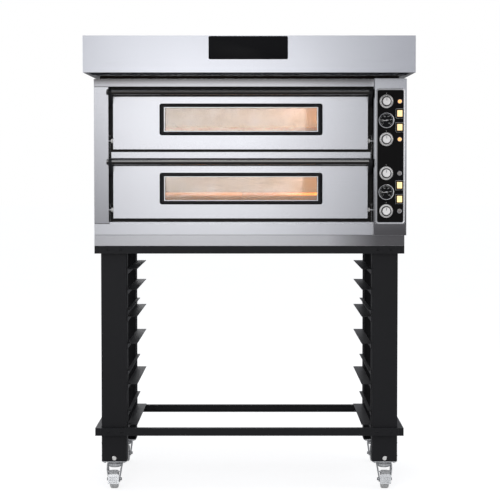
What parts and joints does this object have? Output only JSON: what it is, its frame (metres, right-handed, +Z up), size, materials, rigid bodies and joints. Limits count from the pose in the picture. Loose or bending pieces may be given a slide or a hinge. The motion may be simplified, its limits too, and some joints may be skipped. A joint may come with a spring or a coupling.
{
  "type": "deck pizza oven",
  "caption": "Stainless two-deck electric pizza oven with drop-down glazed doors and an extraction hood, on a black stand with tray rails and swivel castors.",
  "frame": {"origin": "on the floor, under the middle of the outer box", "axes": "+Z up, the doors face -Y, +X to the right of someone facing the doors"},
  "size_m": [1.401, 1.07, 2.0185],
  "materials": {
    "stand_black": "satin black powder coat",
    "stainless": "brushed stainless sheet",
    "hood_steel": "fine brushed stainless sheet",
    "handle_steel": "polished stainless tube in satin black end brackets",
    "chamber_steel": "heat-tinted aluminised steel",
    "refractory": "pale refractory stone, floury",
    "plate_black": "black control overlay",
    "knob_plastic": "pale grey moulded plastic, satin",
    "rocker_cream": "translucent cream, lit from behind",
    "gauge_chrome": "polished rim around a black dial",
    "needle_white": "matt white",
    "oven_glass": "clear oven glass",
    "zinc": "bright zinc plate",
    "tread": "grey non-marking rubber, satin"
  },
  "bodies": {
    "oven": {"stand_leg_front_left": "stand_black", "castor_plate_front_left": "zinc", "stand_leg_front_right": "stand_black", "castor_plate_front_right": "zinc", "stand_leg_rear_left": "stand_black", "castor_plate_rear_left": "zinc", "stand_leg_rear_right": "stand_black", "castor_plate_rear_right": "zinc", "upper_bar_front": "stand_black", "upper_bar_rear": "stand_black", "upper_bar_left": "stand_black", "upper_bar_right": "stand_black", "lower_bar_front": "stand_black", "lower_bar_rear": "stand_black", "lower_bar_left": "stand_black", "lower_bar_right": "stand_black", "tray_rack_left": "stand_black", "tray_rack_right": "stand_black", "base_pan": "stainless", "left_column": "stainless", "casing_wrap": "stainless", "rear_panel": "stainless", "top_fascia": "stainless", "middle_strip": "stainless", "bottom_fascia": "stainless", "control_housing": "stainless", "hood_shell": "hood_steel", "control_plate": "plate_black", "chamber_liner_lower": "chamber_steel", "hearth_lower": "refractory", "gauge_lower": "gauge_chrome", "chamber_liner_upper": "chamber_steel", "hearth_upper": "refractory", "gauge_upper": "gauge_chrome"},
    "door_lower": {"door_panel_lower": "stainless", "door_glass_lower": "oven_glass", "door_handle_lower": "handle_steel"},
    "door_upper": {"door_panel_upper": "stainless", "door_glass_upper": "oven_glass", "door_handle_upper": "handle_steel"},
    "knob_lower_deck_lower": {"knob_lower_deck_lower": "knob_plastic"},
    "knob_lower_deck_upper": {"knob_lower_deck_upper": "knob_plastic"},
    "knob_upper_deck_lower": {"knob_upper_deck_lower": "knob_plastic"},
    "knob_upper_deck_upper": {"knob_upper_deck_upper": "knob_plastic"},
    "switch_lower_deck_lower": {"switch_lower_deck_lower": "rocker_cream"},
    "switch_lower_deck_upper": {"switch_lower_deck_upper": "rocker_cream"},
    "switch_upper_deck_lower": {"switch_upper_deck_lower": "rocker_cream"},
    "switch_upper_deck_upper": {"switch_upper_deck_upper": "rocker_cream"},
    "gauge_needle_lower": {"gauge_needle_lower": "needle_white"},
    "gauge_needle_upper": {"gauge_needle_upper": "needle_white"},
    "castor_fork_front_left": {"castor_fork_front_left": "zinc"},
    "castor_wheel_front_left": {"castor_wheel_front_left": "tread"},
    "brake_pedal_front_left": {"brake_pedal_front_left": "zinc"},
    "castor_fork_front_right": {"castor_fork_front_right": "zinc"},
    "castor_wheel_front_right": {"castor_wheel_front_right": "tread"},
    "brake_pedal_front_right": {"brake_pedal_front_right": "zinc"},
    "castor_fork_rear_left": {"castor_fork_rear_left": "zinc"},
    "castor_wheel_rear_left": {"castor_wheel_rear_left": "tread"},
    "castor_fork_rear_right": {"castor_fork_rear_right": "zinc"},
    "castor_wheel_rear_right": {"castor_wheel_rear_right": "tread"}
  },
  "joints": [
    {"name": "door_lower_hinge", "type": "hinge", "parent": "oven", "child": "door_lower", "pos_m": [-0.039, -0.271, 1.231], "axis": [1, 0, 0], "range_deg": [0, 90]},
    {"name": "door_upper_hinge", "type": "hinge", "parent": "oven", "child": "door_upper", "pos_m": [-0.039, -0.271, 1.533], "axis": [1, 0, 0], "range_deg": [0, 90]},
    {"name": "knob_lower_deck_lower_turn", "type": "hinge", "parent": "oven", "child": "knob_lower_deck_lower", "pos_m": [0.5936, -0.3485, 1.2285], "axis": [0, 1, 0], "range_deg": [0, 300]},
    {"name": "knob_lower_deck_upper_turn", "type": "hinge", "parent": "oven", "child": "knob_lower_deck_upper", "pos_m": [0.5936, -0.3485, 1.3925], "axis": [0, 1, 0], "range_deg": [0, 300]},
    {"name": "knob_upper_deck_lower_turn", "type": "hinge", "parent": "oven", "child": "knob_upper_deck_lower", "pos_m": [0.5936, -0.3485, 1.5395], "axis": [0, 1, 0], "range_deg": [0, 300]},
    {"name": "knob_upper_deck_upper_turn", "type": "hinge", "parent": "oven", "child": "knob_upper_deck_upper", "pos_m": [0.5936, -0.3485, 1.7035], "axis": [0, 1, 0], "range_deg": [0, 300]},
    {"name": "switch_lower_deck_lower_rock", "type": "hinge", "parent": "oven", "child": "switch_lower_deck_lower", "pos_m": [0.6515, -0.352, 1.2805], "axis": [1, 0, 0], "range_deg": [0, 8]},
    {"name": "switch_lower_deck_upper_rock", "type": "hinge", "parent": "oven", "child": "switch_lower_deck_upper", "pos_m": [0.6515, -0.352, 1.3405], "axis": [1, 0, 0], "range_deg": [0, 8]},
    {"name": "switch_upper_deck_lower_rock", "type": "hinge", "parent": "oven", "child": "switch_upper_deck_lower", "pos_m": [0.6515, -0.352, 1.5915], "axis": [1, 0, 0], "range_deg": [0, 8]},
    {"name": "switch_upper_deck_upper_rock", "type": "hinge", "parent": "oven", "child": "switch_upper_deck_upper", "pos_m": [0.6515, -0.352, 1.6515], "axis": [1, 0, 0], "range_deg": [0, 8]},
    {"name": "gauge_needle_lower_turn", "type": "hinge", "parent": "oven", "child": "gauge_needle_lower", "pos_m": [0.5936, -0.3488, 1.3105], "axis": [0, 1, 0], "range_deg": [0, 240]},
    {"name": "gauge_needle_upper_turn", "type": "hinge", "parent": "oven", "child": "gauge_needle_upper", "pos_m": [0.5936, -0.3488, 1.6215], "axis": [0, 1, 0], "range_deg": [0, 240]},
    {"name": "castor_front_left_swivel", "type": "hinge", "parent": "oven", "child": "castor_fork_front_left", "pos_m": [-0.5972, -0.2325, 0.1045], "axis": [0, 0, 1], "continuous": true},
    {"name": "castor_front_left_roll", "type": "hinge", "parent": "castor_fork_front_left", "child": "castor_wheel_front_left", "pos_m": [-0.5972, -0.2685, 0.04], "axis": [1, 0, 0], "continuous": true},
    {"name": "brake_pedal_front_left_press", "type": "hinge", "parent": "castor_fork_front_left", "child": "brake_pedal_front_left", "pos_m": [-0.5972, -0.2965, 0.0785], "axis": [1, 0, 0], "range_deg": [0, 18]},
    {"name": "castor_front_right_swivel", "type": "hinge", "parent": "oven", "child": "castor_fork_front_right", "pos_m": [0.5972, -0.2325, 0.1045], "axis": [0, 0, 1], "continuous": true},
    {"name": "castor_front_right_roll", "type": "hinge", "parent": "castor_fork_front_right", "child": "castor_wheel_front_right", "pos_m": [0.5972, -0.2685, 0.04], "axis": [1, 0, 0], "continuous": true},
    {"name": "brake_pedal_front_right_press", "type": "hinge", "parent": "castor_fork_front_right", "child": "brake_pedal_front_right", "pos_m": [0.5972, -0.2965, 0.0785], "axis": [1, 0, 0], "range_deg": [0, 18]},
    {"name": "castor_rear_left_swivel", "type": "hinge", "parent": "oven", "child": "castor_fork_rear_left", "pos_m": [-0.5972, 0.3025, 0.1045], "axis": [0, 0, 1], "continuous": true},
    {"name": "castor_rear_left_roll", "type": "hinge", "parent": "castor_fork_rear_left", "child": "castor_wheel_rear_left", "pos_m": [-0.5972, 0.3385, 0.04], "axis": [1, 0, 0], "continuous": true},
    {"name": "castor_rear_right_swivel", "type": "hinge", "parent": "oven", "child": "castor_fork_rear_right", "pos_m": [0.5972, 0.3025, 0.1045], "axis": [0, 0, 1], "continuous": true},
    {"name": "castor_rear_right_roll", "type": "hinge", "parent": "castor_fork_rear_right", "child": "castor_wheel_rear_right", "pos_m": [0.5972, 0.3385, 0.04], "axis": [1, 0, 0], "continuous": true}
  ]
}
